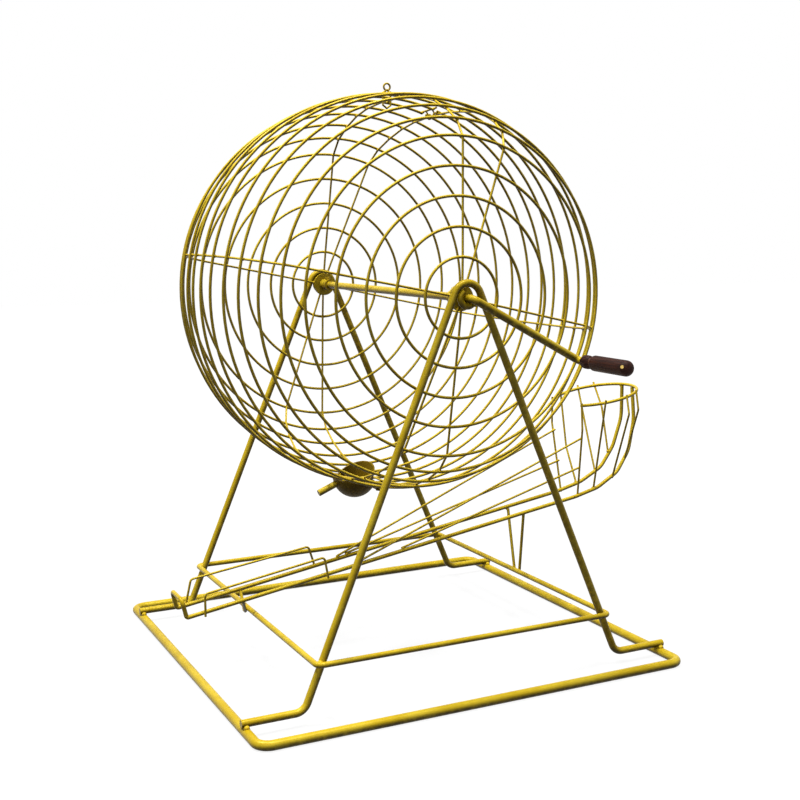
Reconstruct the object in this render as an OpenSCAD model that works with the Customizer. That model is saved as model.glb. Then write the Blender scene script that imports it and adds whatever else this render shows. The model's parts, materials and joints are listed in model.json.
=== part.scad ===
// Hand-cranked lottery machine: a wire ball cage on two bent-rod frames,
// with a release cup on the cage, a catcher basket and a sloping ball chute.
// Millimetres. Origin: centre of the base rods on the floor. X runs along the front
// base rod, Y from the crank side to the back, Z up. Angles on the cage are taken
// about the axle, clockwise from the top as seen from the crank side.

/* [Stand] */
// Distance between the centre lines of opposite base rods
base_span = 490; // [460:1:520]
// Thickness of the base rod
base_rod_d = 10; // [8:0.5:12]
// Thickness of the two bent frames
frame_rod_d = 8; // [7:0.5:9]
// Half distance between the two knees of a frame
knee_x = 184.7; // [175:1:195]
// Height of the axle above the floor
axle_z = 414.7; // [405:1:425]
// Radius of the bend over the axle, to the rod centre
saddle_r = 15.6; // [15.2:0.1:18]
// Thickness of the middle frame rod
mid_rod_d = 6; // [5:0.5:7]
// Height of the middle frame
mid_z = 60; // [52:1:68]

/* [Cage] */
// Largest radius of the cage, to the wire centre
cage_r = 223.5; // [218:0.5:227]
// Half width of the cage over the smallest rings, to the wire centre
cage_half_w = 191; // [186:1:194]
// Thickness of the ring wire
ring_wire_d = 3.2; // [2.8:0.1:3.6]
// Thickness of the rib wire
rib_wire_d = 2.5; // [2.2:0.1:3]
// Thickness of the axle and crank rod
axle_d = 8.5; // [8:0.1:8.8]
// Length of the crank arm
crank_arm = 145.5; // [130:1:155]
// Length of the grip barrel
barrel_l = 65; // [55:1:80]

/* [Chute] */
// Half distance between the two chute rails
rail_y = 20; // [18:0.5:22]
// Thickness of the chute rails
rail_d = 4.8; // [4:0.2:5.2]
// Thickness of the light chute and basket wires
light_wire_d = 2.6; // [2.2:0.1:3]
// Radius of the catcher rim, to the wire centre
catcher_r = 53; // [51:0.5:55]

/* [Release cup] */
// Outer radius of the cup bowl
bowl_r = 25.2; // [23:0.1:25.2]
// Sheet thickness of the bowl
bowl_t = 1.4; // [1:0.1:2]

/* [Hidden] */
$fn = 48;
weld_sink = 0.35;
joint_over = 0.1;
gap = 0.3;
foot_z = base_rod_d + frame_rod_d / 2 - weld_sink;
frame_front_y = -(cage_half_w + 12.4);
frame_back_y = cage_half_w + 7;
foot_x = base_span / 2 + 4.5;
base_corner_r = 14;
knee_r = 14;
foot_reach = norm([knee_x, axle_z - foot_z]);
lean = atan2(knee_x, axle_z - foot_z) - asin(saddle_r / foot_reach);
apex_z = axle_z + saddle_r / sin(lean);
leg_mid_x = (apex_z - mid_z) * tan(lean);
mid_x = leg_mid_x + frame_rod_d / 2 / cos(lean) + mid_rod_d / 2 - weld_sink;
mid_front_y = frame_front_y - (frame_rod_d + mid_rod_d) / 2 + weld_sink;
mid_back_y = frame_back_y + (frame_rod_d + mid_rod_d) / 2 - weld_sink;

bearing_rod_d = 2 * (saddle_r - frame_rod_d / 2 - axle_d / 2 - gap + 0.1) / 2;
bearing_r = axle_d / 2 + gap + bearing_rod_d / 2;

// Cage rings: half width position and radius, as parts of the cage sizes
face_ring_r = [42, 73, 104.5, 135.5, 166.5] * cage_r / 223.5;
face_edge_y = cage_half_w - 13.5;
rim_ring = [
    for (p = [[162, 186], [136.5, 200.5], [107, 211.5], [77.5, 218], [43, 221.5], [14.5, 223.5]])
        [p[0] * cage_half_w / 191, p[1] * cage_r / 223.5]
];
rib_offset = (ring_wire_d + rib_wire_d) / 2 - weld_sink;
rib_angles = [3.6, 21, 102.7, 183.6, 201, 281.5];
rib_start_r = 10.2;
rib_edge_bend_r = 13;

hub_disc_r = 14;
hub_disc_t = 3;
hub_y = cage_half_w - 2.5;
boss_r = 6.8;
boss_l = 20;
screw_d = 4;
screw_y = hub_y - 13;
bore_fit = 0.05;

crank_drop = 28.7;
crank_y = frame_front_y - 11.9;
crank_bend_r = 7;
crank_end = [crank_arm * cos(crank_drop), crank_y, axle_z - crank_arm * sin(crank_drop)];
grip_start_y = crank_y - crank_bend_r - 0.5;
bead_l = 16;
bead_d = 14.6;
neck_d = 10.8;
neck_l = 3.5;
barrel_d = 16.6;
grip_fit = 0.3;
pin_l = bead_l + neck_l + barrel_l - 12;

// Filling door between two ribs and two rings of the cage top
door_from = rib_angles[0];
door_to = rib_angles[1];
ring_a = rim_ring[5];
ring_b = rim_ring[4];
ring_c = rim_ring[3];
door_left_bar = 7;
door_right_bar = 19.3;
door_bar_offset = (ring_wire_d + rib_wire_d) / 2 - weld_sink;
door_bar_over = 4;
eye_wire_d = 2.2;
eye_r = (rib_wire_d + eye_wire_d) / 2 + gap;
eye_part = [0.24, 0.78];
tongue_y = ring_a[0] - 6;
tongue_end_y = 1.5;
tongue_d = 2;
latch_angle = 1.1;
latch_y = -3;
latch_wire_d = 2.2;
latch_half_w = 4.8;
bar_x = 1.5;
bar_angle = atan(bar_x / cage_r);
bar_r = ring_a[1] + (ring_wire_d + tongue_d) / 2 - weld_sink;
neck_z = bar_r + 3.85;
eye_ring_r = 3.9;

// Release cup, on a plate let into the cage opposite the door
cup_angle = 180 + 12.6;
cup_y = -ring_a[0];
plate_x = 26;
plate_y = 30;
plate_t = 2;
plate_r = cage_r - 1.9;
plate_hole_r = bowl_r - 4.6;
scoop_t = 1.2;
flange_t = 1.2;
flange_r = bowl_r;
flange_z = plate_r + plate_t / 2 + gap;
tab_z = flange_z + flange_t - 0.2;
bowl_z = plate_r - 4.8;
scoop_h = 24;
scoop_low = 4;
scoop_tilt = 38;
hinge_x = -29;
hinge_z = plate_r + 5;
hinge_pin_d = 2.6;
knuckle_d = 5.6;
knuckle_l = 18;
lug_y = 12;
lug_t = 2.4;
lever_d = 7.6;

// Chute and catcher
rail_slope = 81 / 502;
catcher_x = 300;
catcher_y = 6;
catcher_z = 271.2;
catcher_tilt = 10.2;
catcher_wire_d = 4;
catcher_open = 145;
support_wire_d = 3.6;

function unit(v) = v / norm(v);
function turn_at(p, i) = acos(max(-1, min(1, unit(p[i] - p[i - 1]) * unit(p[i + 1] - p[i]))));
function bend_at(r, i) = is_list(r) ? r[i - 1] : r;
function cut_at(p, r, i) =
    i == 0 || i == len(p) - 1 ? 0 : bend_at(r, i) * tan(turn_at(p, i) / 2);
function polar(angle, y, r) = [r * sin(angle), y, axle_z + r * cos(angle)];
function inward(p, i) =
    let (t = unit(unit(p[i + 1] - p[i]) + unit(p[i] - p[i - 1]))) [t[1], -t[0]];
function rib_bend(i, last) =
    i == 2 || i == 3 || i == last - 3 || i == last - 2 ? rib_edge_bend_r : 0;
function rail_z(x) = 67 + rail_slope * (x + 247);
function face_y(r) =
    cage_half_w - (cage_half_w - face_edge_y) * (r - face_ring_r[0]) / (face_ring_r[4] - face_ring_r[0]);

// Ring centres passed by a rib from the front hub to the back hub, as [y, r]
half_path = concat(
    [[-hub_y - (hub_disc_t + rib_wire_d) / 2 + weld_sink - rib_offset, rib_start_r]],
    [[-cage_half_w, face_ring_r[0]], [-face_edge_y, face_ring_r[4]]],
    [for (p = rim_ring) [-p[0], p[1]]]
);
ring_path = concat(half_path, [for (i = [len(half_path) - 1 : -1 : 0]) [-half_path[i][0], half_path[i][1]]]);
path_last = len(ring_path) - 1;
rib_bends = [for (i = [1 : path_last - 1]) rib_bend(i, path_last)];
rib_path = [
    for (i = [0 : path_last])
        i == 0 ? ring_path[0] + [rib_offset, 0]
        : i == path_last ? ring_path[path_last] - [rib_offset, 0]
        : ring_path[i] + inward(ring_path, i)
            * (rib_offset - rib_bends[i - 1] * (1 / cos(turn_at(ring_path, i) / 2) - 1))
];
// The rib piece that carries the door, between the two rings that the door opens
door_pivot_a = polar(door_to, rib_path[len(half_path)][0], rib_path[len(half_path)][1]);
door_pivot_b = polar(door_to, rib_path[len(half_path) + 1][0], rib_path[len(half_path) + 1][1]);

// A straight round rod between two points.
module rod(a, b, d) {
    v = b - a;
    length = norm(v);
    translate(a)
        rotate([0, acos(v[2] / length), atan2(v[1], v[0])])
            cylinder(h = length, d = d);
}

// The round elbow of a bent rod at point i.
module elbow(p, i, r, d) {
    a = unit(p[i] - p[i - 1]);
    b = unit(p[i + 1] - p[i]);
    turn = turn_at(p, i);
    start = p[i] - a * r * tan(turn / 2);
    n = unit(cross(a, b));
    x = -cross(n, a);
    c = start - x * r;
    multmatrix([
        [x[0], a[0], n[0], c[0]],
        [x[1], a[1], n[1], c[1]],
        [x[2], a[2], n[2], c[2]],
        [0, 0, 0, 1]
    ])
        rotate_extrude(angle = turn)
            translate([r, 0])
                circle(d = d);
}

// A rod bent through the points; r is one bend radius or a list, and 0 makes a sharp bend.
module bent_rod(p, r, d) {
    for (i = [0 : len(p) - 2]) {
        along = unit(p[i + 1] - p[i]);
        a = p[i] + along * cut_at(p, r, i);
        b = p[i + 1] - along * cut_at(p, r, i + 1);
        rod(a, b, d);
        if (i > 0)
            joint(a, d);
        if (i < len(p) - 2 && bend_at(r, i + 1) > 0)
            joint(b, d);
    }
    for (i = [1 : len(p) - 2])
        if (bend_at(r, i) > 0)
            elbow(p, i, bend_at(r, i), d);
}

// Covers the seam between two pieces of a rod.
module joint(at, d) {
    translate(at)
        sphere(d = d + joint_over);
}

// Part of a wire ring about the axle line, between two angles.
module ring_arc(r, y, from, to, d) {
    translate([0, y, axle_z])
        rotate([90, 0, 0])
            rotate([0, 0, 90 - to])
                rotate_extrude(angle = to - from)
                    translate([r, 0])
                        circle(d = d);
}

module whole_ring(r, y) {
    ring_arc(r, y, 0, 360, ring_wire_d);
}

// Local frame on the cage: Z out from the axle line at the angle, X along the turn.
module at_rim(angle, y) {
    translate([0, y, axle_z])
        rotate([0, angle, 0])
            children();
}

// A turned piece along +Z with rounded ends.
module turned(d, h, r_near, r_far) {
    rotate_extrude()
        intersection() {
            union() {
                translate([0, r_near])
                    square([d / 2, h - r_near - r_far]);
                square([d / 2 - r_near, h]);
                translate([0, r_near])
                    square([d / 2 - r_far, h - r_near]);
                translate([d / 2 - r_near, r_near])
                    circle(r = r_near);
                translate([d / 2 - r_far, h - r_far])
                    circle(r = r_far);
            }
            square([d, h]);
        }
}

module base_loop() {
    h = base_span / 2;
    z = base_rod_d / 2;
    r = base_corner_r;
    color("goldenrod")
        for (side = [0 : 3])
            rotate([0, 0, 90 * side]) {
                rod([r - h, -h, z], [h - r, -h, z], base_rod_d);
                translate([h - r, r - h, z])
                    rotate([0, 0, -90])
                        rotate_extrude(angle = 90)
                            translate([r, 0])
                                circle(d = base_rod_d);
            }
}

// One bent rod: foot, leg, bend over the axle, leg, foot.
module side_frame(y) {
    color("goldenrod")
        translate([0, y, 0])
            rotate([0, 0, -90])
                bent_rod(
                    [
                        [0, -foot_x, foot_z], [0, -knee_x, foot_z], [0, 0, apex_z],
                        [0, knee_x, foot_z], [0, foot_x, foot_z]
                    ],
                    [knee_r, saddle_r, knee_r],
                    frame_rod_d
                );
}

module front_frame() {
    side_frame(frame_front_y);
}

module back_frame() {
    side_frame(frame_back_y);
}

module mid_frame() {
    r = 7;
    x = mid_x - r;
    color("goldenrod") {
        rod([-x, mid_front_y, mid_z], [x, mid_front_y, mid_z], mid_rod_d);
        rod([-x, mid_back_y, mid_z], [x, mid_back_y, mid_z], mid_rod_d);
        for (s = [-1, 1])
            rod([s * mid_x, mid_front_y + r, mid_z], [s * mid_x, mid_back_y - r, mid_z], mid_rod_d);
        for (c = [[x, mid_back_y - r, 0], [-x, mid_back_y - r, 90], [-x, mid_front_y + r, 180], [x, mid_front_y + r, 270]])
            translate([c[0], c[1], mid_z])
                rotate([0, 0, c[2]])
                    rotate_extrude(angle = 90)
                        translate([r, 0])
                            circle(d = mid_rod_d);
    }
}

// A short hooked rod under the axle, open towards the upper right, its end turned outwards.
module bearing(y, out) {
    end_angle = 130;
    end = polar(end_angle, y, bearing_r);
    color("darkgoldenrod") {
        ring_arc(bearing_r, y, end_angle, 325, bearing_rod_d);
        translate(end)
            sphere(d = bearing_rod_d + 0.1);
        rod(end, end + [0, out * (bearing_rod_d / 2 + 1.6), 0], bearing_rod_d);
    }
}

module front_bearing() {
    bearing(frame_front_y, -1);
}

module back_bearing() {
    bearing(frame_back_y, 1);
}

// Weld beads where the feet lie on the base and where the middle frame meets the legs.
module frame_welds() {
    bead = 6;
    color("darkgoldenrod")
        for (s = [-1, 1])
            for (y = [frame_front_y, frame_back_y])
                for (side = [-1, 1])
                    translate([s * base_span / 2, y + side * (frame_rod_d / 2 + 0.6), base_rod_d])
                        sphere(d = bead);
}

// One rail: straight slope, then a curve up to the catcher rim; lean shifts its top.
module rail(side, lean_top) {
    y = side * rail_y;
    top_y = catcher_y + lean_top;
    top_x = catcher_x + sqrt(catcher_r * catcher_r - lean_top * lean_top) * cos(catcher_tilt);
    top_z = catcher_z + (top_x - catcher_x) * tan(catcher_tilt) - 2;
    p = [
        [-247, y, rail_z(-247)], [252, y, rail_z(252)], [286, y, rail_z(252) + 8.5],
        [317, y + side * -1.5, 173], [337, y * 0.72 + top_y * 0.28, 199],
        [350, y * 0.35 + top_y * 0.65, 237], [top_x, top_y, top_z]
    ];
    color("goldenrod")
        bent_rod(p, [60, 40, 30, 40, 60], rail_d);
}

module chute_rail_front() {
    rail(-1, -8);
}

module chute_rail_back() {
    rail(1, 13);
}

// Upturned hairpin that stops the balls at the low end.
module chute_end_stop() {
    foot = [-246.9, rail_y, rail_z(-246.9)];
    knee = [-249.5, rail_y, rail_z(-249.5)];
    top = [-254.5, rail_y, 87];
    p = [foot, knee, top, [top[0], -top[1], top[2]], [knee[0], -knee[1], knee[2]], [foot[0], -foot[1], foot[2]]];
    color("goldenrod")
        bent_rod(p, [2.6, 7, 7, 2.6], rail_d);
}

// A low bent wire beside a rail that keeps balls in the channel.
module guard(p) {
    color("goldenrod")
        bent_rod(p, 4, light_wire_d);
}

module chute_guard_front() {
    y = -rail_y - (rail_d + light_wire_d) / 2 + weld_sink;
    guard([[-229.5, y, rail_z(-229.5) - 4], [-229.5, y, 91], [-89.5, y, 114], [-85, y, rail_z(-85) - 4]]);
}

module chute_guard_back() {
    y = rail_y + (rail_d + light_wire_d) / 2 - weld_sink;
    guard([[-239, y, rail_z(-239) - 3], [-232, y, 96], [-91, y, 116], [-83, y, rail_z(-83) - 3]]);
}

// Wire saddle that carries the chute on the left rod of the middle frame.
module chute_saddle() {
    dx = (mid_rod_d + support_wire_d) / 2 - weld_sink;
    low = mid_z - 2;
    under = rail_d / 2 - 0.8;
    color("goldenrod")
        bent_rod(
            [
                [-mid_x - dx + 1, rail_y, rail_z(-mid_x - dx + 1) - under], [-mid_x - dx, 4, low],
                [-mid_x - dx, 0, low], [-mid_x - dx - 9, -rail_y, rail_z(-mid_x - dx - 9) - under]
            ],
            0,
            support_wire_d
        );
}

// Wire prop that carries the chute on the right rod of the middle frame.
module chute_prop() {
    dx = (mid_rod_d + support_wire_d) / 2 - weld_sink;
    under = rail_d / 2 - 0.8;
    color("goldenrod")
        bent_rod(
            [
                [mid_x + dx, rail_y - 1, rail_z(mid_x) - under], [mid_x + dx, 3, mid_z - 1],
                [mid_x + dx, -9, mid_z - 1], [mid_x + dx, 1 - rail_y, rail_z(mid_x) - under]
            ],
            4,
            support_wire_d
        );
}

module catcher_rim() {
    color("goldenrod")
        translate([catcher_x, catcher_y, catcher_z])
            rotate([0, -catcher_tilt, 0])
                rotate([0, 0, -catcher_open])
                    rotate_extrude(angle = 2 * catcher_open)
                        translate([catcher_r, 0])
                            circle(d = catcher_wire_d);
}

// A point on the outside of the catcher rim, at plan x, on the front or back side.
function rim_point(x, side) =
    let (dx = (x - catcher_x) / cos(catcher_tilt), r = catcher_r + (catcher_wire_d + light_wire_d) / 2 - 0.1)
    [x, catcher_y + side * sqrt(r * r - dx * dx), catcher_z + (x - catcher_x) * tan(catcher_tilt)];

// Basket wires from a rail to the rim; each row gives plan x, height at the rail, elbow points.
module basket_ribs(side, rows) {
    color("goldenrod")
        for (row = rows) {
            top = rim_point(row[0], side);
            bent_rod(
                concat(
                    [[row[0], side * (rail_y - 1), row[1]]],
                    [for (q = row[2]) [row[0], q[0], q[1]]],
                    [top + [0, 0, 4]]
                ),
                6,
                light_wire_d
            );
        }
}

module catcher_ribs_front() {
    basket_ribs(-1, [
        [256, 146, [[-30, 234]]],
        [280, 153, [[-40, 243]]],
        [309, 166, [[-55, 253]]],
        [329, 191, [[-47, 256]]]
    ]);
}

module catcher_ribs_back() {
    basket_ribs(1, [
        [256, 146, [[41, 234]]],
        [280, 153, [[44, 199]]],
        [309, 166, [[33, 201]]],
        [329, 191, [[34, 250]]]
    ]);
}

// A straight guide wire from the top of a rail, at plan x, to the inside of the first basket wire.
module side_guide(side, x, end) {
    rise = (rail_d + light_wire_d) / 2 - weld_sink;
    color("goldenrod")
        rod([x, side * rail_y, rail_z(x) + rise], [end[0], side * end[1], end[2]], light_wire_d);
}

module side_guides_front() {
    side_guide(-1, -45, [258, 26.4, 223]);
    side_guide(-1, 9, [258, 21.7, 185]);
}

module side_guides_back() {
    side_guide(1, -57, [258, 36.5, 225]);
    side_guide(1, -46, [258, 26.7, 186]);
}

module crank() {
    color("goldenrod")
        bent_rod(
            [
                [0, frame_back_y + 7, axle_z], [0, crank_y, axle_z], crank_end,
                crank_end - [0, crank_bend_r + 0.5 + pin_l, 0]
            ],
            crank_bend_r,
            axle_d
        );
}

// Disc and boss fixed on the axle by a screw; s is -1 at the front and 1 at the back.
module hub(s) {
    color("goldenrod")
        difference() {
            union() {
                rod([0, s * (hub_y - hub_disc_t / 2), axle_z], [0, s * (hub_y + hub_disc_t / 2), axle_z], 2 * hub_disc_r);
                rod([0, s * (hub_y - boss_l), axle_z], [0, s * hub_y, axle_z], 2 * boss_r);
            }
            rod([0, s * (hub_y - boss_l - 1), axle_z], [0, s * (hub_y + hub_disc_t), axle_z], axle_d + 2 * bore_fit);
            rod([0, s * screw_y, axle_z], [0, s * screw_y, axle_z + boss_r + 1], screw_d + 2 * bore_fit);
        }
}

module front_hub() {
    hub(-1);
}

module back_hub() {
    hub(1);
}

module hub_screws() {
    head_h = 3;
    head_d = 6.6;
    color("darkgoldenrod")
        for (s = [-1, 1])
            translate([0, s * screw_y, axle_z + axle_d / 2 + bore_fit]) {
                cylinder(h = boss_r + gap - axle_d / 2, d = screw_d);
                translate([0, 0, boss_r + 0.1 - axle_d / 2])
                    difference() {
                        cylinder(h = head_h, d = head_d);
                        translate([-head_d, -0.5, head_h - 1.2])
                            cube([2 * head_d, 1, 2]);
                    }
            }
}

module face_rings(s) {
    color("goldenrod")
        for (r = face_ring_r)
            whole_ring(r, s * face_y(r));
}

module front_face_rings() {
    face_rings(-1);
}

module back_face_rings() {
    face_rings(1);
}

module ring_pair(i) {
    color("goldenrod")
        for (s = [-1, 1])
            whole_ring(rim_ring[i][1], s * rim_ring[i][0]);
}

module rim_rings_edge() {
    ring_pair(0);
}

module rim_rings_two() {
    ring_pair(1);
}

module rim_rings_three() {
    ring_pair(2);
}

module rim_rings_four() {
    ring_pair(3);
}

cup_half = asin((plate_x - weld_sink) / cage_r);
cup_from = cup_angle - cup_half;
cup_to = cup_angle + cup_half;
door_stub = 0.7;

// Front ring cut for the cup, back ring cut for the door.
module rim_rings_five() {
    color("goldenrod") {
        ring_arc(ring_b[1], -ring_b[0], cup_to, cup_from + 360, ring_wire_d);
        ring_arc(ring_b[1], ring_b[0], door_to - door_stub, door_from + door_stub + 360, ring_wire_d);
    }
}

module rim_rings_middle() {
    color("goldenrod") {
        ring_arc(ring_a[1], -ring_a[0], cup_to, cup_from + 360, ring_wire_d);
        ring_arc(ring_a[1], ring_a[0], door_to - door_stub, cup_from, ring_wire_d);
        ring_arc(ring_a[1], ring_a[0], cup_to, door_from + door_stub + 360, ring_wire_d);
    }
}

// One bent wire from the front hub disc along the inside of all rings to the back hub disc.
module rib(angle) {
    color("goldenrod")
        at_rim(angle, 0)
            bent_rod([for (p = rib_path) [0, p[0], p[1]]], rib_bends, rib_wire_d);
}

module rib_door_left() {
    rib(rib_angles[0]);
}

module rib_door_right() {
    rib(rib_angles[1]);
}

module rib_right() {
    rib(rib_angles[2]);
}

module rib_bottom_right() {
    rib(rib_angles[3]);
}

module rib_bottom_left() {
    rib(rib_angles[4]);
}

module rib_left() {
    rib(rib_angles[5]);
}

// Cross wire on the two middle rings, on which the latch slides.
module latch_bar() {
    y = ring_a[0] + 2;
    color("goldenrod")
        rod(polar(latch_angle - bar_angle, -y, bar_r), polar(latch_angle - bar_angle, y, bar_r), tongue_d);
}

// Wire loop on the latch bar; slid towards the back it also goes round the door tongue.
module latch_loop() {
    low_z = neck_z - 20.6;
    side = [[latch_half_w, low_z + 3.5], [latch_half_w, neck_z - 3.1]];
    color("goldenrod")
        at_rim(latch_angle, latch_y) {
            for (s = [-1, 1])
                bent_rod(
                    [[0, 0, low_z], [s * side[0][0], 0, side[0][1]], [s * side[1][0], 0, side[1][1]], [0, 0, neck_z]],
                    0,
                    latch_wire_d
                );
            for (z = [low_z, neck_z])
                translate([0, 0, z])
                    sphere(d = latch_wire_d + 0.4);
        }
}

// Finger eye on top of the latch loop.
module latch_eye() {
    color("goldenrod")
        at_rim(latch_angle, latch_y)
            translate([0, 0, neck_z + eye_ring_r - 0.3])
                rotate([90, 0, 0])
                    rotate_extrude()
                        translate([eye_ring_r, 0])
                            circle(d = latch_wire_d);
}

// The two ring pieces that the door carries across the opening.
module door_arcs() {
    color("goldenrod")
        for (p = [ring_a, ring_b])
            ring_arc(p[1], p[0], door_from + 2, door_to - 1.9, ring_wire_d);
}

function door_bar_point(angle, y) =
    polar(
        angle,
        y,
        ring_a[1] + door_bar_offset + (ring_b[1] - ring_a[1]) * (y - ring_a[0]) / (ring_b[0] - ring_a[0])
    );

// Two cross bars on the door arcs, and the eyes round the rib that the door turns on.
module door_bars() {
    axis = unit(door_pivot_b - door_pivot_a);
    color("goldenrod") {
        rod(
            door_bar_point(door_left_bar, tongue_y - 2),
            door_bar_point(door_left_bar, ring_b[0] + door_bar_over),
            rib_wire_d
        );
        rod(
            door_bar_point(door_right_bar, ring_a[0] - door_bar_over),
            door_bar_point(door_right_bar, ring_b[0] + door_bar_over),
            rib_wire_d
        );
        for (t = eye_part) {
            c = door_pivot_a + (door_pivot_b - door_pivot_a) * t;
            bar = door_bar_point(door_right_bar, c[1]);
            away = unit((bar - c) - axis * (axis * (bar - c)));
            side = cross(axis, away);
            multmatrix([
                [away[0], side[0], axis[0], c[0]],
                [away[1], side[1], axis[1], c[1]],
                [away[2], side[2], axis[2], c[2]],
                [0, 0, 0, 1]
            ])
                rotate_extrude()
                    translate([eye_r, 0])
                        circle(d = eye_wire_d);
            rod(c + away * (eye_r + 0.2), bar, eye_wire_d - 0.3);
        }
    }
}

// Wire tongue of the door that lies beside the latch bar.
module door_tongue() {
    start_angle = door_left_bar - (rib_wire_d / 2 - weld_sink) / bar_r * 180 / PI;
    color("goldenrod")
        bent_rod(
            [
                polar(start_angle, tongue_y, bar_r),
                polar(latch_angle + bar_angle, tongue_y, bar_r),
                polar(latch_angle + bar_angle, tongue_end_y, bar_r)
            ],
            2.5,
            tongue_d
        );
}

// Plate let into the cut rings, with the hole over the bowl and two hinge lugs.
module cup_plate() {
    color("darkgoldenrod")
        at_rim(cup_angle, cup_y)
            difference() {
                union() {
                    translate([-plate_x, -plate_y, plate_r - plate_t / 2])
                        cube([2 * plate_x, 2 * plate_y, plate_t]);
                    for (s = [-1, 1])
                        translate([hinge_x - knuckle_d / 2, s * lug_y - lug_t / 2, plate_r - plate_t / 2])
                            cube([-hinge_x + knuckle_d / 2 - plate_x + 1, lug_t, hinge_z + (knuckle_d + plate_t) / 2 - plate_r]);
                }
                translate([0, 0, plate_r - plate_t])
                    cylinder(h = 2 * plate_t, r = plate_hole_r);
                rod([hinge_x, -plate_y, hinge_z], [hinge_x, plate_y, hinge_z], hinge_pin_d + 2 * bore_fit);
            }
}

// Curved wall inside the cage that leads one ball into the bowl.
module cup_scoop() {
    bottom = plate_r - plate_t / 2 + 0.1;
    color("darkgoldenrod")
        at_rim(cup_angle, cup_y)
            difference() {
                translate([0, 0, bottom - scoop_h])
                    cylinder(h = scoop_h, r = plate_hole_r + scoop_t);
                translate([0, 0, bottom - 2 * scoop_h])
                    cylinder(h = 3 * scoop_h, r = plate_hole_r);
                translate([0, 0, bottom - scoop_low])
                    rotate([0, 0, 150])
                        rotate([0, scoop_tilt, 0])
                            translate([-60, -60, -60])
                                cube([120, 120, 60]);
            }
}

module cup_hinge_pin() {
    y = lug_y + lug_t / 2 + 1.4;
    color("darkgoldenrod")
        at_rim(cup_angle, cup_y)
            rod([hinge_x, -y, hinge_z], [hinge_x, y, hinge_z], hinge_pin_d);
}

// Round bowl with a flange and the knuckle that turns on the hinge pin.
module cup_bowl() {
    color("darkgoldenrod")
        at_rim(cup_angle, cup_y)
            difference() {
                union() {
                    intersection() {
                        translate([0, 0, bowl_z])
                            sphere(r = bowl_r);
                        translate([0, 0, flange_z])
                            cylinder(h = 2 * bowl_r, r = 2 * bowl_r);
                    }
                    translate([0, 0, flange_z])
                        cylinder(h = flange_t, r = flange_r);
                    rod([hinge_x, -knuckle_l / 2, hinge_z], [hinge_x, knuckle_l / 2, hinge_z], knuckle_d);
                    translate([hinge_x + 1.6, -knuckle_l / 2, tab_z])
                        cube([8, knuckle_l, hinge_z - tab_z]);
                }
                translate([0, 0, bowl_z])
                    sphere(r = bowl_r - bowl_t);
                rod([hinge_x, -knuckle_l, hinge_z], [hinge_x, knuckle_l, hinge_z], hinge_pin_d + 2 * bore_fit);
            }
}

// Lever that opens the bowl.
module cup_lever() {
    color("goldenrod")
        at_rim(cup_angle, cup_y)
            difference() {
                rod([10, 0, bowl_z + 4.9], [39.8, 0, bowl_z + 25.7], lever_d);
                translate([0, 0, bowl_z])
                    sphere(r = bowl_r - 0.3);
            }
}

module grip() {
    color("saddlebrown")
        translate([crank_end[0], grip_start_y, crank_end[2]])
            rotate([90, 0, 0])
                difference() {
                    union() {
                        turned(bead_d, bead_l, 6, 6);
                        translate([0, 0, bead_l - 3])
                            cylinder(h = neck_l + 6, d = neck_d);
                        translate([0, 0, bead_l + neck_l])
                            turned(barrel_d, barrel_l, 4, 7);
                    }
                    translate([0, 0, -1])
                        cylinder(h = pin_l + 1.5, d = axle_d + 2 * grip_fit);
                }
}

// Small brass nail in the rounded far end of the barrel.
module grip_nail() {
    end_y = grip_start_y - bead_l - neck_l - barrel_l;
    color("gold")
        translate([crank_end[0], end_y + 7, crank_end[2]])
            rotate([0, 17, 0])
                translate([-1.3, 0, 0])
                    rotate([0, 0, -61])
                        rotate([90, 0, 0]) {
                            translate([0, 0, 2.4])
                                cylinder(h = 4.6, d = 1.6);
                            translate([0, 0, 6.6])
                                cylinder(h = 0.7, d = 3.6);
                        }
}

base_loop();
front_frame();
back_frame();
mid_frame();
front_bearing();
back_bearing();
frame_welds();
chute_rail_front();
chute_rail_back();
chute_end_stop();
chute_guard_front();
chute_guard_back();
chute_saddle();
chute_prop();
catcher_rim();
catcher_ribs_front();
catcher_ribs_back();
side_guides_front();
side_guides_back();
crank();
front_hub();
back_hub();
hub_screws();
front_face_rings();
back_face_rings();
rim_rings_edge();
rim_rings_two();
rim_rings_three();
rim_rings_four();
rim_rings_five();
rim_rings_middle();
rib_door_left();
rib_door_right();
rib_right();
rib_bottom_right();
rib_bottom_left();
rib_left();
latch_bar();
cup_plate();
cup_scoop();
cup_hinge_pin();
grip();
grip_nail();
door_arcs();
door_bars();
door_tongue();
latch_loop();
latch_eye();
cup_bowl();
cup_lever();
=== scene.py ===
import bpy
import bmesh
import json
import math
import random
from mathutils import Matrix, Vector
from mathutils.bvhtree import BVHTree
from mathutils.geometry import intersect_ray_tri


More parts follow.
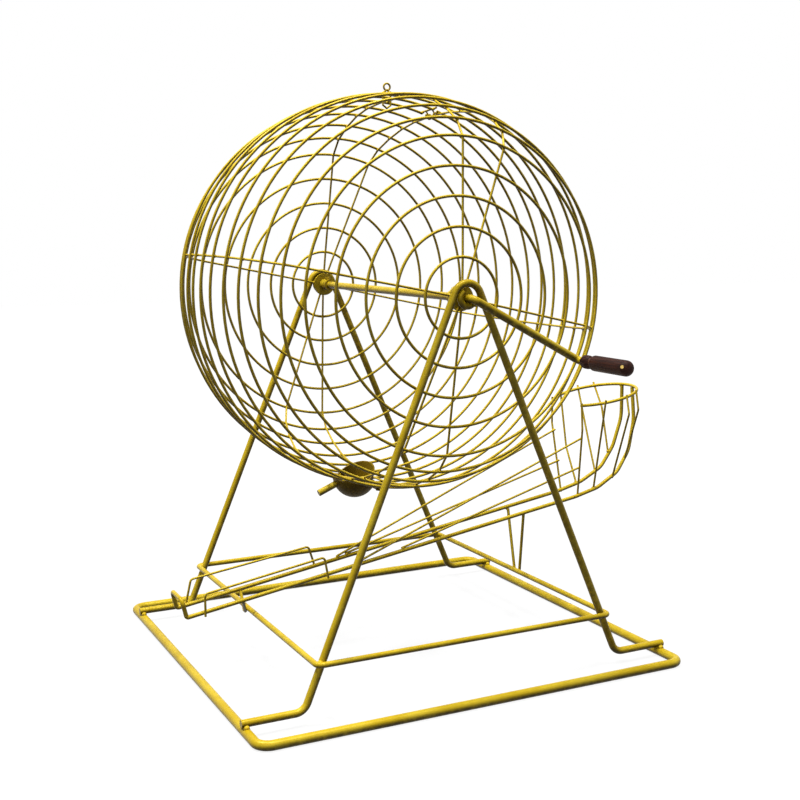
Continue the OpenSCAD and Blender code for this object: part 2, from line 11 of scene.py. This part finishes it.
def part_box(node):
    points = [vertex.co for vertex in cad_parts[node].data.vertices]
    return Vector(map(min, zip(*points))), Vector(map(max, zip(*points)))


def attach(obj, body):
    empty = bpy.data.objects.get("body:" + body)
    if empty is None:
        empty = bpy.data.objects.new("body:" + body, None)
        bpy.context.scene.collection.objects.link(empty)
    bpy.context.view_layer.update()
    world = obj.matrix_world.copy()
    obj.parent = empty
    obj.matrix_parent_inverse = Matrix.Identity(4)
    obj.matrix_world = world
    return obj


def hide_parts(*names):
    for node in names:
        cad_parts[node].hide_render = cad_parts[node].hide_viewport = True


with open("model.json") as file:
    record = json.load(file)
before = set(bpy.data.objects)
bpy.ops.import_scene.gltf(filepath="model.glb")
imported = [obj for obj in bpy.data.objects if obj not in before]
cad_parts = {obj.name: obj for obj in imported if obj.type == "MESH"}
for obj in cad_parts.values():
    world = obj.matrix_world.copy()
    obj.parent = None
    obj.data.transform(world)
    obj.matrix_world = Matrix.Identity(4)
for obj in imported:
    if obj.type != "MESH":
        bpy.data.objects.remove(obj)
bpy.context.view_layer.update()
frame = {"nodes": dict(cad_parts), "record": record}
nodes = frame["nodes"]
slotOf = {part["node"]: part["material_slot"] for part in frame["record"]["subparts"]}
bodyOf = {name: body for body, names in frame["record"]["behaviour"]["bodies"].items() for name in names}
print("frame loaded:", len(nodes), "nodes")


# Camera at the photograph's viewing angle
camera = {
    "place": (-0.601939, -1.316861, 0.485639),
    "yaw": -0.4715,          # turned towards +X from a look along +Y, in radians
    "pitch": -0.0947,
    "roll": -0.0072,
    "focalPx": 1241.94,      # for an image of 800 pixels
    "centrePx": (438.0, 346.6),
    "imagePx": 800,
    "sensorMm": 36,
    "seesFrom": 0.01,
    "seesTo": 60,
}


def makeCamera(spec):
    yaw, pitch, roll = spec["yaw"], spec["pitch"], spec["roll"]
    look = Vector((-math.sin(yaw) * math.cos(pitch), math.cos(yaw) * math.cos(pitch), math.sin(pitch)))
    right = Vector((math.cos(yaw), math.sin(yaw), 0))
    up = right.cross(look)
    rolledRight = right * math.cos(roll) + up * math.sin(roll)
    rolledUp = up * math.cos(roll) - right * math.sin(roll)
    data = bpy.data.cameras.new("photoCamera")
    data.sensor_width = spec["sensorMm"]
    data.lens = spec["focalPx"] * spec["sensorMm"] / spec["imagePx"]
    data.shift_x = 0.5 - spec["centrePx"][0] / spec["imagePx"]
    data.shift_y = spec["centrePx"][1] / spec["imagePx"] - 0.5
    data.clip_start = spec["seesFrom"]
    data.clip_end = spec["seesTo"]
    obj = bpy.data.objects.new("photoCamera", data)
    turn = Matrix((rolledRight, rolledUp, -look)).transposed().to_4x4()
    obj.matrix_world = Matrix.Translation(spec["place"]) @ turn
    bpy.context.scene.collection.objects.link(obj)
    bpy.context.scene.camera = obj


makeCamera(camera)
bpy.context.scene.view_settings.view_transform = "Standard"
print("camera placed")


# Shader node helpers
def addNode(tree, kind, values=None, **settings):
    node = tree.nodes.new(kind)
    for name, value in settings.items():
        setattr(node, name, value)
    for name, value in (values or {}).items():
        node.inputs[name].default_value = value
    return node


def newGroup(name, inputs, outputs):
    tree = bpy.data.node_groups.new(name, "ShaderNodeTree")
    for label, kind in inputs:
        tree.interface.new_socket(label, in_out="INPUT", socket_type=kind)
    for label, kind in outputs:
        tree.interface.new_socket(label, in_out="OUTPUT", socket_type=kind)
    return tree, tree.nodes.new("NodeGroupInput"), tree.nodes.new("NodeGroupOutput")


def mixColour(tree, factor, first, second):
    node = addNode(tree, "ShaderNodeMix", data_type="RGBA")
    for socket, source in ((node.inputs[0], factor), (node.inputs[6], first), (node.inputs[7], second)):
        if isinstance(source, bpy.types.NodeSocket):
            tree.links.new(source, socket)
        else:
            socket.default_value = source
    return node.outputs[2]


def mapRange(tree, source, low, high, outLow=0.0, outHigh=1.0):
    values = {1: low, 2: high, 3: outLow, 4: outHigh}
    node = addNode(tree, "ShaderNodeMapRange", values, interpolation_type="SMOOTHSTEP")
    tree.links.new(source, node.inputs[0])
    return node.outputs[0]


def calculate(tree, operation, first, second):
    node = addNode(tree, "ShaderNodeMath", operation=operation)
    for socket, source in zip(node.inputs, (first, second)):
        if isinstance(source, bpy.types.NodeSocket):
            tree.links.new(source, socket)
        else:
            socket.default_value = source
    return node.outputs[0]


def noise(tree, where, scale, detail=2.0, roughness=0.5):
    node = addNode(tree, "ShaderNodeTexNoise", {"Detail": detail, "Roughness": roughness})
    if isinstance(scale, bpy.types.NodeSocket):
        tree.links.new(scale, node.inputs["Scale"])
    else:
        node.inputs["Scale"].default_value = scale
    tree.links.new(where, node.inputs["Vector"])
    return node.outputs[0]


# Sprayed metal paint: cloudy thickness, dull specks, fine orange peel, and painted shade: the side turned
# away from the light above is mixed towards a dark colour.
# Each pair of values holds the two ends between which a mask fades.
sprayFilm = {
    # Direction of the key light above; surfaces turned away from it get painted shade
    "from": (-0.3, 0.09, 0.95),
    "paintedShadeSide": (0.53, -0.42),
    "paintedShadePatches": (0.2, 0.6),
    "leastPaintedShade": 0.65,
    "thick": (0.35, 0.72),
    "brightest": 0.55,
    "lumpsPerCloud": 7.0,
    "speckScale": 420.0,
    "speckEdge": (0.05, 0.16),
    "speckClouds": (0.5, 0.62),
    "speckDark": 0.55,
    "speckRough": 0.2,
    "speckMetal": 0.6,
    "lumpRough": 0.22,
    "peelHeight": 0.35,
    "bumpDepth": 0.0004,
}


def makeSprayGroup(spec):
    tree, groupIn, groupOut = newGroup(
        "sprayedPaint",
        [
            ("Paint", "NodeSocketColor"), ("Shade And Speck Paint", "NodeSocketColor"),
            ("Bright Paint", "NodeSocketColor"),
            ("Cloud Scale", "NodeSocketFloat"), ("Peel Scale", "NodeSocketFloat"),
            ("Painted Shade Strength", "NodeSocketFloat"), ("Roughness", "NodeSocketFloat"),
            ("Metal", "NodeSocketFloat"), ("Relief", "NodeSocketFloat"),
        ],
        [
            ("Color", "NodeSocketColor"), ("Roughness", "NodeSocketFloat"),
            ("Metallic", "NodeSocketFloat"), ("Normal", "NodeSocketVector"),
        ],
    )
    link = tree.links.new
    coords = tree.nodes.new("ShaderNodeTexCoord")
    where = coords.outputs["Object"]
    cloud = noise(tree, where, groupIn.outputs["Cloud Scale"], detail=4.0, roughness=0.6)
    peel = noise(tree, where, groupIn.outputs["Peel Scale"])
    lumpScale = calculate(tree, "MULTIPLY", groupIn.outputs["Cloud Scale"], spec["lumpsPerCloud"])
    lumps = noise(tree, where, lumpScale, detail=3.0, roughness=0.55)
    specks = addNode(tree, "ShaderNodeTexVoronoi", {"Scale": spec["speckScale"], "Randomness": 1.0})
    link(where, specks.inputs["Vector"])
    speckDots = mapRange(tree, specks.outputs["Distance"], *spec["speckEdge"], 1.0, 0.0)
    speckMask = calculate(tree, "MULTIPLY", speckDots, mapRange(tree, cloud, *spec["speckClouds"]))
    brightMask = calculate(tree, "MULTIPLY", mapRange(tree, cloud, *spec["thick"]), spec["brightest"])
    bright = mixColour(tree, brightMask, groupIn.outputs["Paint"], groupIn.outputs["Bright Paint"])
    towardsLight = addNode(tree, "ShaderNodeVectorMath", {1: spec["from"]}, operation="DOT_PRODUCT")
    link(coords.outputs["Normal"], towardsLight.inputs[0])
    # Painted shade: darker paint colour on the side turned away from the light, broken into patches
    awayFromLight = mapRange(tree, towardsLight.outputs["Value"], *spec["paintedShadeSide"])
    patches = mapRange(tree, lumps, *spec["paintedShadePatches"], spec["leastPaintedShade"], 1.0)
    patchyPaintedShade = calculate(tree, "MULTIPLY", awayFromLight, patches)
    shade = calculate(tree, "MULTIPLY", patchyPaintedShade, groupIn.outputs["Painted Shade Strength"])
    shaded = mixColour(tree, shade, bright, groupIn.outputs["Shade And Speck Paint"])
    speckShade = calculate(tree, "MULTIPLY", speckMask, spec["speckDark"])
    link(mixColour(tree, speckShade, shaded, groupIn.outputs["Shade And Speck Paint"]), groupOut.inputs["Color"])
    dull = calculate(tree, "MULTIPLY", lumps, spec["lumpRough"])
    dullAroundZero = calculate(tree, "SUBTRACT", dull, spec["lumpRough"] / 2)
    rough = calculate(tree, "ADD", groupIn.outputs["Roughness"], dullAroundZero)
    speckRough = calculate(tree, "MULTIPLY", speckMask, spec["speckRough"])
    link(calculate(tree, "ADD", rough, speckRough), groupOut.inputs["Roughness"])
    bare = calculate(tree, "SUBTRACT", 1.0, calculate(tree, "MULTIPLY", speckMask, spec["speckMetal"]))
    link(calculate(tree, "MULTIPLY", groupIn.outputs["Metal"], bare), groupOut.inputs["Metallic"])
    height = calculate(tree, "ADD", calculate(tree, "MULTIPLY", peel, spec["peelHeight"]), lumps)
    bump = addNode(tree, "ShaderNodeBump", {"Distance": spec["bumpDepth"]})
    link(groupIn.outputs["Relief"], bump.inputs["Strength"])
    link(height, bump.inputs["Height"])
    link(bump.outputs["Normal"], groupOut.inputs["Normal"])
    return tree


sprayGroup = makeSprayGroup(sprayFilm)


def newMaterial(name):
    material = bpy.data.materials.new(name)
    material.use_nodes = True
    shader = next(node for node in material.node_tree.nodes if node.type == "BSDF_PRINCIPLED")
    return material, material.node_tree, shader


def sprayedMaterial(name, spec):
    material, tree, shader = newMaterial(name)
    group = addNode(tree, "ShaderNodeGroup", node_tree=sprayGroup)
    for label in ("Paint", "Shade And Speck Paint", "Bright Paint"):
        group.inputs[label].default_value = (*spec[label], 1)
    for label in ("Cloud Scale", "Peel Scale", "Painted Shade Strength", "Roughness", "Metal", "Relief"):
        group.inputs[label].default_value = spec[label]
    tree.links.new(group.outputs["Color"], shader.inputs["Base Color"])
    for label in ("Roughness", "Metallic", "Normal"):
        tree.links.new(group.outputs[label], shader.inputs[label])
    shader.inputs["Specular IOR Level"].default_value = spec["specular"]
    material.diffuse_color = (*spec["Paint"], 1)
    return material


# Shade And Speck Paint is the dark colour of the painted shade and of the dull specks
goldPaint = {
    "Paint": (0.6, 0.41, 0.008), "Shade And Speck Paint": (0.02, 0.0135, 0.0006), "Bright Paint": (0.86, 0.66, 0.05),
    "Cloud Scale": 26.0, "Peel Scale": 1500.0, "Painted Shade Strength": 0.94, "Roughness": 0.36, "Metal": 0.07,
    "Relief": 0.35, "specular": 0.14,
}
weldPaint = {
    "Paint": (0.62, 0.42, 0.01), "Shade And Speck Paint": (0.06, 0.042, 0.003), "Bright Paint": (0.85, 0.62, 0.04),
    "Cloud Scale": 90.0, "Peel Scale": 2200.0, "Painted Shade Strength": 0.8, "Roughness": 0.42, "Metal": 0.1,
    "Relief": 0.8, "specular": 0.14,
}
cupPaint = {
    "Paint": (0.2, 0.125, 0.004), "Shade And Speck Paint": (0.012, 0.007, 0.0005), "Bright Paint": (0.34, 0.23, 0.01),
    "Cloud Scale": 40.0, "Peel Scale": 1500.0, "Painted Shade Strength": 0.85, "Roughness": 0.45, "Metal": 0.12,
    "Relief": 0.4, "specular": 0.08,
}
materials = {
    "gold_paint": sprayedMaterial("goldPaint", goldPaint),
    "weld_paint": sprayedMaterial("weldPaint", weldPaint),
    "cup_paint": sprayedMaterial("cupPaint", cupPaint),
}


# Stained hardwood, its grain along the grip, worn lighter at the neck
darkWood = {
    "dark": (0.008, 0.0016, 0.0009),
    "light": (0.052, 0.0125, 0.005),
    "worn": (0.17, 0.075, 0.035),
    "grainScale": 520.0,
    "grainStretch": 0.06,
    "grainMask": (0.36, 0.66),
    "grainShare": 0.7,
    "poresPerGrain": 3.5,
    "poreMask": (0.62, 0.7),
    "poreDark": 0.7,
    "poreDepth": 0.8,
    "patchScale": 70.0,
    "wornEdge": (0.7, 1.25),     # in half lengths of the neck, from its middle
    "wornPatches": (0.2, 0.7),
    "leastWorn": 0.35,
    "glossMask": (0.3, 0.7),
    "roughness": (0.64, 0.44),
    "relief": 0.5,
    "bumpDepth": 0.0003,
    "specular": 0.12,
}


def makeWood(spec, wornFrom, wornTo):
    material, tree, shader = newMaterial("darkWood")
    link = tree.links.new
    coords = tree.nodes.new("ShaderNodeTexCoord")
    along = addNode(tree, "ShaderNodeMapping", {"Scale": (1, spec["grainStretch"], 1)})
    link(coords.outputs["Object"], along.inputs["Vector"])
    grain = noise(tree, along.outputs[0], spec["grainScale"], detail=5.0, roughness=0.62)
    pores = noise(tree, along.outputs[0], spec["grainScale"] * spec["poresPerGrain"])
    patches = noise(tree, coords.outputs["Object"], spec["patchScale"])
    streaks = calculate(tree, "MULTIPLY", mapRange(tree, grain, *spec["grainMask"]), spec["grainShare"])
    clouds = calculate(tree, "MULTIPLY", patches, 1 - spec["grainShare"])
    dark = (*spec["dark"], 1)
    stained = mixColour(tree, calculate(tree, "ADD", streaks, clouds), dark, (*spec["light"], 1))
    poreMask = mapRange(tree, pores, *spec["poreMask"])
    pored = mixColour(tree, calculate(tree, "MULTIPLY", poreMask, spec["poreDark"]), stained, dark)
    place = tree.nodes.new("ShaderNodeSeparateXYZ")
    link(coords.outputs["Object"], place.inputs[0])
    middle = (wornFrom + wornTo) / 2
    half = abs(wornTo - wornFrom) / 2
    offset = calculate(tree, "SUBTRACT", place.outputs["Y"], middle)
    distance = calculate(tree, "ABSOLUTE", offset, 0.0)
    nearNeck = mapRange(tree, distance, *(half * edge for edge in spec["wornEdge"]), 1.0, 0.0)
    wornSpots = mapRange(tree, patches, *spec["wornPatches"], spec["leastWorn"], 1.0)
    wornMask = calculate(tree, "MULTIPLY", nearNeck, wornSpots)
    link(mixColour(tree, wornMask, pored, (*spec["worn"], 1)), shader.inputs["Base Color"])
    link(mapRange(tree, grain, *spec["glossMask"], *spec["roughness"]), shader.inputs["Roughness"])
    bump = addNode(tree, "ShaderNodeBump", {"Strength": spec["relief"], "Distance": spec["bumpDepth"]})
    sunk = calculate(tree, "MULTIPLY", poreMask, spec["poreDepth"])
    link(calculate(tree, "SUBTRACT", grain, sunk), bump.inputs["Height"])
    link(bump.outputs["Normal"], shader.inputs["Normal"])
    shader.inputs["Specular IOR Level"].default_value = spec["specular"]
    return material


# Brass nail, a little tarnished
nailBrass = {
    "clean": (0.9, 0.66, 0.2),
    "stained": (0.45, 0.28, 0.07),
    "stainScale": 900.0,
    "stainMask": (0.35, 0.7),
    "glossMask": (0.3, 0.75),
    "roughness": (0.2, 0.42),
    "relief": 0.3,
    "bumpDepth": 0.0002,
}


def makeBrass(spec):
    material, tree, shader = newMaterial("brassNail")
    link = tree.links.new
    coords = tree.nodes.new("ShaderNodeTexCoord")
    stain = noise(tree, coords.outputs["Object"], spec["stainScale"], detail=4.0, roughness=0.6)
    stainMask = mapRange(tree, stain, *spec["stainMask"])
    link(mixColour(tree, stainMask, (*spec["clean"], 1), (*spec["stained"], 1)), shader.inputs["Base Color"])
    link(mapRange(tree, stain, *spec["glossMask"], *spec["roughness"]), shader.inputs["Roughness"])
    bump = addNode(tree, "ShaderNodeBump", {"Strength": spec["relief"], "Distance": spec["bumpDepth"]})
    link(stain, bump.inputs["Height"])
    link(bump.outputs["Normal"], shader.inputs["Normal"])
    shader.inputs["Metallic"].default_value = 1.0
    return material


# Puts a finished mesh on its body, with its look
def finishPiece(mesh, name, material, body):
    data = bpy.data.meshes.new(name)
    mesh.to_mesh(data)
    mesh.free()
    data.polygons.foreach_set("use_smooth", [True] * len(data.polygons))
    obj = bpy.data.objects.new(name, data)
    obj.data.materials.append(material)
    bpy.context.scene.collection.objects.link(obj)
    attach(obj, body)
    return obj


# Turned wooden grip on the crank pin
gripShape = {
    "beadLength": 0.016, "beadRadius": 0.0073, "beadRound": 0.006,
    "neckLength": 0.0035, "neckRadius": 0.0053, "neckRound": 0.0012,
    "barrelRadius": 0.0083, "barrelNear": 0.0035, "barrelFar": 0.0068,
    "boreRadius": 0.00455, "boreShort": 0.0115, "boreEdge": (0.0003, 0.0004),
    # Each arc as its first angle, its last angle and its steps
    "beadStart": (-78, 0, 8), "beadEnd": (0, 58, 8), "neckArc": (235, 125, 6),
    "barrelStart": (-58, 0, 6), "barrelEnd": (0, 82, 12),
    "steps": 72,
    "joinWithin": 1e-6,
}


def arcPoints(centre, radius, fromAngle, toAngle, steps):
    for step in range(steps + 1):
        angle = math.radians(fromAngle + (toAngle - fromAngle) * step / steps)
        yield (centre[0] + radius * math.cos(angle), centre[1] + radius * math.sin(angle))


def gripProfile(spec, length):
    # Distance from the turning axis and distance along it, from the bore's floor round to the far end
    beadL, beadR, beadRound = spec["beadLength"], spec["beadRadius"], spec["beadRound"]
    neckR, neckRound = spec["neckRadius"], spec["neckRound"]
    barrelR, near, far = spec["barrelRadius"], spec["barrelNear"], spec["barrelFar"]
    boreR, (edgeOut, edgeIn) = spec["boreRadius"], spec["boreEdge"]
    neckMiddle = beadL + spec["neckLength"] / 2
    neckEnd = beadL + spec["neckLength"]
    floor = length - spec["boreShort"]
    points = [(0, floor), (boreR, floor), (boreR, edgeIn), (boreR + edgeOut, 0)]
    points += arcPoints((beadR - beadRound, beadRound), beadRound, *spec["beadStart"])
    points += arcPoints((beadR - beadRound, beadL - beadRound), beadRound, *spec["beadEnd"])
    points += arcPoints((neckR + neckRound, neckMiddle), neckRound, *spec["neckArc"])
    points += arcPoints((barrelR - near, neckEnd + near), near, *spec["barrelStart"])
    points += arcPoints((barrelR - far, length - far), far, *spec["barrelEnd"])
    points.append((0, length))
    return points


def makeGrip(spec):
    low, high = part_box("grip")
    centre = (low + high) / 2
    length = high.y - low.y
    mesh = bmesh.new()
    profile = gripProfile(spec, length)
    ring = [mesh.verts.new((centre.x + out, high.y - along, centre.z)) for out, along in profile]
    edges = [mesh.edges.new(pair) for pair in zip(ring, ring[1:])]
    bmesh.ops.spin(
        mesh, geom=ring + edges, cent=centre, axis=(0, 1, 0),
        angle=math.tau, steps=spec["steps"], use_merge=True,
    )
    bmesh.ops.remove_doubles(mesh, verts=mesh.verts, dist=spec["joinWithin"])
    bmesh.ops.recalc_face_normals(mesh, faces=mesh.faces)
    neckNear = high.y - spec["beadLength"]
    wood = makeWood(darkWood, neckNear, neckNear - spec["neckLength"])
    grip = finishPiece(mesh, "turnedGrip", wood, "grip")
    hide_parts("grip")
    return wood


materials["dark_wood"] = makeGrip(gripShape)
materials["brass_nail"] = makeBrass(nailBrass)
print("grip turned")


# Finish of the carried-over nodes
for name, node in nodes.items():
    node.data.materials.clear()
    node.data.materials.append(materials[slotOf[name]])
print("nodes painted")


# Weld knots wherever two wires of one body are let into each other
knots = {
    "radius": 0.00185,
    "heavyRadius": 0.0036,
    "apart": 0.007,
    "heavyNodes": ("base_loop", "front_frame", "back_frame", "mid_frame", "crank"),
    "skip": ("frame_welds", "hub_screws", "cup_hinge_pin", "grip_nail", "grip", "latch_loop", "latch_eye"),
    "seed": 7,
    "unevenFrom": 0.85,
    "unevenTo": 1.2,
    "leanAxisZ": 0.3,
    "subdivisions": 3,
}


def surfaceTree(node):
    mesh = bmesh.new()
    mesh.from_mesh(node.data)
    tree = BVHTree.FromBMesh(mesh)
    triangles = [[corner.co.copy() for corner in face.verts] for face in mesh.faces]
    mesh.free()
    return tree, triangles


def crossings(first, second):
    # Where the edges of one triangle pass through the other
    for edged, other in ((first, second), (second, first)):
        for i in range(3):
            start, along = edged[i], edged[(i + 1) % 3] - edged[i]
            hit = intersect_ray_tri(*other, along, start, True)
            if hit and (hit - start).length <= along.length:
                yield hit


def boxesTouch(first, second):
    (lowA, highA), (lowB, highB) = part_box(first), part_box(second)
    return all(lowA[i] < highB[i] and lowB[i] < highA[i] for i in range(3))


def contactPoints(first, second, apart):
    groups = []
    for faceA, faceB in first[0].overlap(second[0]):
        for point in crossings(first[1][faceA], second[1][faceB]):
            near = next((group for group in groups if (group[0] / group[1] - point).length < apart), None)
            if near:
                near[0] += point
                near[1] += 1
            else:
                groups.append([point.copy(), 1])
    return [group[0] / group[1] for group in groups]


def makeKnots(spec):
    names = [name for name in nodes if name not in spec["skip"]]
    surfaces = {name: surfaceTree(nodes[name]) for name in names}
    chance = random.Random(spec["seed"])
    meshes = {}
    for i, first in enumerate(names):
        for second in names[i + 1:]:
            if bodyOf[first] != bodyOf[second] or not boxesTouch(first, second):
                continue
            heavy = first in spec["heavyNodes"] and second in spec["heavyNodes"]
            radius = spec["heavyRadius"] if heavy else spec["radius"]
            mesh = meshes.setdefault(bodyOf[first], bmesh.new())
            for point in contactPoints(surfaces[first], surfaces[second], spec["apart"]):
                size = [radius * chance.uniform(spec["unevenFrom"], spec["unevenTo"]) for _ in range(3)]
                angle = chance.uniform(0, math.tau)
                axis = Vector((chance.random(), chance.random(), spec["leanAxisZ"]))
                turn = Matrix.Rotation(angle, 4, axis)
                where = Matrix.Translation(point) @ turn @ Matrix.Diagonal((*size, 1))
                bmesh.ops.create_icosphere(mesh, subdivisions=spec["subdivisions"], radius=1, matrix=where)
    facesPerKnot = 20 * 4 ** (spec["subdivisions"] - 1)
    for body, mesh in meshes.items():
        if mesh.faces:
            print("knots on", body, len(mesh.faces) // facesPerKnot)
            finishPiece(mesh, body + "Knots", materials["weld_paint"], body)
        else:
            mesh.free()


makeKnots(knots)
print("weld knots set")


# Plain studio: pale floor that keeps a faint shadow, white behind, soft lamps
studio = {
    "floorSize": 14.0,
    "floorColour": 0.12,
    "floorGlow": 0.9,
    "fadeFrom": 0.55,        # the floor turns to plain white between these distances
    "fadeTo": 1.5,
    "worldFill": 0.035,
    "lamps": (
        {"name": "keyLamp", "place": (-1.0, 0.5, 2.9), "aim": (0, 0, 0.3), "size": 0.6, "power": 79},
        {"name": "topLamp", "place": (0.15, -0.6, 2.8), "aim": (0, 0, 0.3), "size": 0.6, "power": 54},
        {"name": "frontLamp", "place": (-1.1, -2.4, 1.1), "aim": (0, 0, 0.35), "size": 1.4, "power": 10},
        {"name": "sideLamp", "place": (2.0, -1.2, 0.9), "aim": (0, 0, 0.4), "size": 0.8, "power": 4},
    ),
}


def seenDirectly(tree):
    path = tree.nodes.new("ShaderNodeLightPath")
    shown = calculate(tree, "ADD", path.outputs["Is Camera Ray"], path.outputs["Is Glossy Ray"])
    return calculate(tree, "MINIMUM", calculate(tree, "ADD", shown, path.outputs["Is Transmission Ray"]), 1.0)


def makeFloor(spec):
    mesh = bmesh.new()
    bmesh.ops.create_grid(mesh, x_segments=1, y_segments=1, size=spec["floorSize"] / 2)
    data = bpy.data.meshes.new("floor")
    mesh.to_mesh(data)
    mesh.free()
    floor = bpy.data.objects.new("floor", data)
    bpy.context.scene.collection.objects.link(floor)
    material = bpy.data.materials.new("paleFloor")
    material.use_nodes = True
    tree = material.node_tree
    tree.nodes.clear()
    diffuse = addNode(tree, "ShaderNodeBsdfDiffuse", {"Color": (*[spec["floorColour"]] * 3, 1)})
    glow = addNode(tree, "ShaderNodeEmission")
    coords = tree.nodes.new("ShaderNodeTexCoord")
    distance = addNode(tree, "ShaderNodeVectorMath", operation="LENGTH")
    tree.links.new(coords.outputs["Object"], distance.inputs[0])
    away = distance.outputs["Value"]
    level = mapRange(tree, away, spec["fadeFrom"], spec["fadeTo"], spec["floorGlow"], 1.0)
    tree.links.new(calculate(tree, "MULTIPLY", seenDirectly(tree), level), glow.inputs["Strength"])
    both = tree.nodes.new("ShaderNodeAddShader")
    tree.links.new(diffuse.outputs[0], both.inputs[0])
    tree.links.new(glow.outputs[0], both.inputs[1])
    tree.links.new(both.outputs[0], tree.nodes.new("ShaderNodeOutputMaterial").inputs["Surface"])
    floor.data.materials.append(material)


def makeWorld(spec):
    world = bpy.data.worlds.new("studioWorld")
    bpy.context.scene.world = world
    world.use_nodes = True
    tree = world.node_tree
    background = next(node for node in tree.nodes if node.type == "BACKGROUND")
    background.inputs["Color"].default_value = (1, 1, 1, 1)
    level = mapRange(tree, seenDirectly(tree), 0.0, 1.0, spec["worldFill"], 1.0)
    tree.links.new(level, background.inputs["Strength"])


def makeLamps(lamps):
    for lamp in lamps:
        light = bpy.data.lights.new(lamp["name"], "AREA")
        light.energy = lamp["power"]
        light.size = lamp["size"]
        obj = bpy.data.objects.new(lamp["name"], light)
        obj.location = lamp["place"]
        obj.rotation_euler = (Vector(lamp["aim"]) - obj.location).to_track_quat("-Z", "Y").to_euler()
        bpy.context.scene.collection.objects.link(obj)


makeFloor(studio)
makeWorld(studio)
makeLamps(studio["lamps"])
print("studio lit")
